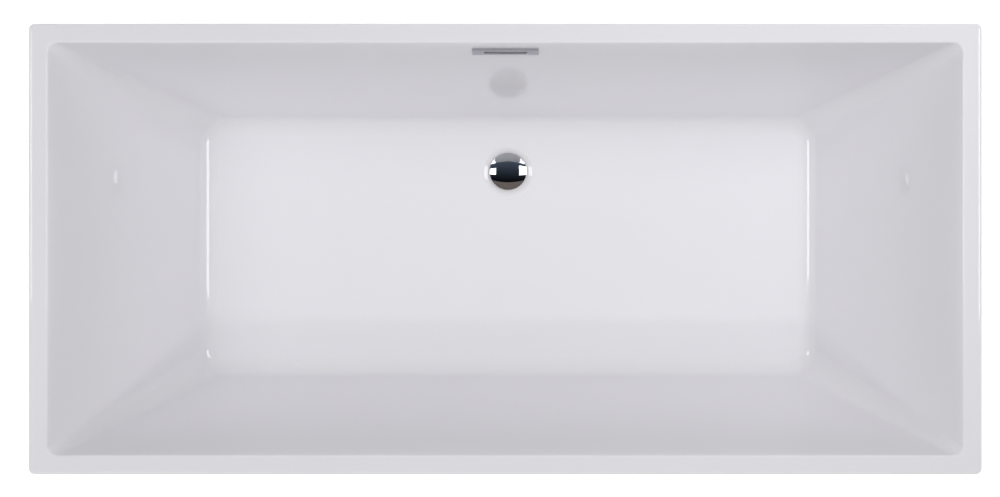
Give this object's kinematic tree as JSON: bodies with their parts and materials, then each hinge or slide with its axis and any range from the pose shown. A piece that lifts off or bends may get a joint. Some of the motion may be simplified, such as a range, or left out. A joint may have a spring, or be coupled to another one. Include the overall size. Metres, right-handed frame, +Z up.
{
  "type": "freestanding bathtub",
  "caption": "Rectangular freestanding acrylic bath with a narrow flat rim, sloping walls, press waste, slotted overflow, skirt, steel frame and adjustable feet.",
  "frame": {"origin": "on the floor, under the middle of the rim", "axes": "+X along the length, +Y to the back wall that carries the overflow, +Z up"},
  "size_m": [1.7, 0.804, 0.58],
  "materials": {
    "acrylic": "polished acrylic sheet",
    "laminate": "rolled glass-fibre laminate",
    "plywood": "bare plywood",
    "frame_steel": "galvanised steel tube",
    "zinc_steel": "zinc plated",
    "foot_plastic": "moulded black plastic",
    "chrome": "polished chrome",
    "satin_chrome": "satin chrome plate",
    "brass": "turned brass",
    "stainless": "plain stainless steel",
    "rubber": "black rubber",
    "white_plastic": "moulded white plastic"
  },
  "bodies": {
    "tub": {"base_board": "plywood", "basin_laminate": "laminate", "basin_shell": "acrylic", "board_screws": "zinc_steel", "bracket_screws": "zinc_steel", "cartridge_cap": "brass", "cartridge_housing": "brass", "click_spring": "stainless", "frame_centre_strut": "frame_steel", "frame_crossbar_left": "frame_steel", "frame_crossbar_left_end": "frame_steel", "frame_crossbar_right": "frame_steel", "frame_crossbar_right_end": "frame_steel", "frame_rail_back": "frame_steel", "frame_rail_front": "frame_steel", "lock_nuts": "zinc_steel", "outer_skirt": "acrylic", "overflow_body": "white_plastic", "overflow_cover": "satin_chrome", "overflow_gasket": "rubber", "overflow_nut_lower": "white_plastic", "overflow_nut_upper": "white_plastic", "overflow_pipe": "white_plastic", "overflow_screws": "stainless", "skirt_bracket_left_back": "zinc_steel", "skirt_bracket_left_front": "zinc_steel", "skirt_bracket_right_back": "zinc_steel", "skirt_bracket_right_front": "zinc_steel", "skirt_laminate": "laminate", "tee_union_nut": "white_plastic", "tee_washer": "rubber", "threaded_bosses": "frame_steel", "trap_body": "white_plastic", "trap_outlet_nut": "white_plastic", "trap_outlet_seal": "rubber", "trap_union_nut": "white_plastic", "trap_washer": "rubber", "waste_back_nut": "brass", "waste_flange": "chrome", "waste_gasket_lower": "rubber", "waste_gasket_upper": "rubber", "waste_tee": "white_plastic"},
    "plug": {"plug_cap": "chrome", "plug_seal": "rubber", "plug_stem": "brass"},
    "index_ring": {"click_ring": "white_plastic"},
    "foot_left_front": {"foot_pad_left_front": "foot_plastic"},
    "stud_left_front": {"foot_stud_left_front": "zinc_steel"},
    "foot_left_back": {"foot_pad_left_back": "foot_plastic"},
    "stud_left_back": {"foot_stud_left_back": "zinc_steel"},
    "foot_right_front": {"foot_pad_right_front": "foot_plastic"},
    "stud_right_front": {"foot_stud_right_front": "zinc_steel"},
    "foot_right_back": {"foot_pad_right_back": "foot_plastic"},
    "stud_right_back": {"foot_stud_right_back": "zinc_steel"},
    "foot_centre": {"foot_pad_centre": "foot_plastic"},
    "stud_centre": {"foot_stud_centre": "zinc_steel"}
  },
  "joints": [
    {"name": "plug_press", "type": "slide", "parent": "tub", "child": "plug", "axis": [0, 0, 1], "range_m": [0, 0.009], "deforming": ["click_spring"]},
    {"name": "index_turn", "type": "hinge", "parent": "plug", "child": "index_ring", "pos_m": [0, 0.15, 0.1942], "axis": [0, 0, 1], "range_deg": [0, 45]},
    {"name": "foot_lift_left_front", "type": "slide", "parent": "tub", "child": "foot_left_front", "axis": [0, 0, 1], "range_m": [-0.02, 0.006]},
    {"name": "stud_turn_left_front", "type": "hinge", "parent": "foot_left_front", "child": "stud_left_front", "pos_m": [-0.5, -0.205, 0.014], "axis": [0, 0, 1], "range_deg": [-4115, 1236]},
    {"name": "foot_lift_left_back", "type": "slide", "parent": "tub", "child": "foot_left_back", "axis": [0, 0, 1], "range_m": [-0.02, 0.006]},
    {"name": "stud_turn_left_back", "type": "hinge", "parent": "foot_left_back", "child": "stud_left_back", "pos_m": [-0.5, 0.205, 0.014], "axis": [0, 0, 1], "range_deg": [-4115, 1236]},
    {"name": "foot_lift_right_front", "type": "slide", "parent": "tub", "child": "foot_right_front", "axis": [0, 0, 1], "range_m": [-0.02, 0.006]},
    {"name": "stud_turn_right_front", "type": "hinge", "parent": "foot_right_front", "child": "stud_right_front", "pos_m": [0.5, -0.205, 0.014], "axis": [0, 0, 1], "range_deg": [-4115, 1236]},
    {"name": "foot_lift_right_back", "type": "slide", "parent": "tub", "child": "foot_right_back", "axis": [0, 0, 1], "range_m": [-0.02, 0.006]},
    {"name": "stud_turn_right_back", "type": "hinge", "parent": "foot_right_back", "child": "stud_right_back", "pos_m": [0.5, 0.205, 0.014], "axis": [0, 0, 1], "range_deg": [-4115, 1236]},
    {"name": "foot_lift_centre", "type": "slide", "parent": "tub", "child": "foot_centre", "axis": [0, 0, 1], "range_m": [-0.02, 0.006]},
    {"name": "stud_turn_centre", "type": "hinge", "parent": "foot_centre", "child": "stud_centre", "pos_m": [0, 0, 0.014], "axis": [0, 0, 1], "range_deg": [-4115, 1236]}
  ],
  "couplings": [
    {"joint": "index_turn", "follows": "plug_press", "rad_per_m": 87.073},
    {"joint": "stud_turn_left_front", "follows": "foot_lift_left_front", "rad_per_m": 3590.4},
    {"joint": "stud_turn_left_back", "follows": "foot_lift_left_back", "rad_per_m": 3590.4},
    {"joint": "stud_turn_right_front", "follows": "foot_lift_right_front", "rad_per_m": 3590.4},
    {"joint": "stud_turn_right_back", "follows": "foot_lift_right_back", "rad_per_m": 3590.4},
    {"joint": "stud_turn_centre", "follows": "foot_lift_centre", "rad_per_m": 3590.4}
  ]
}
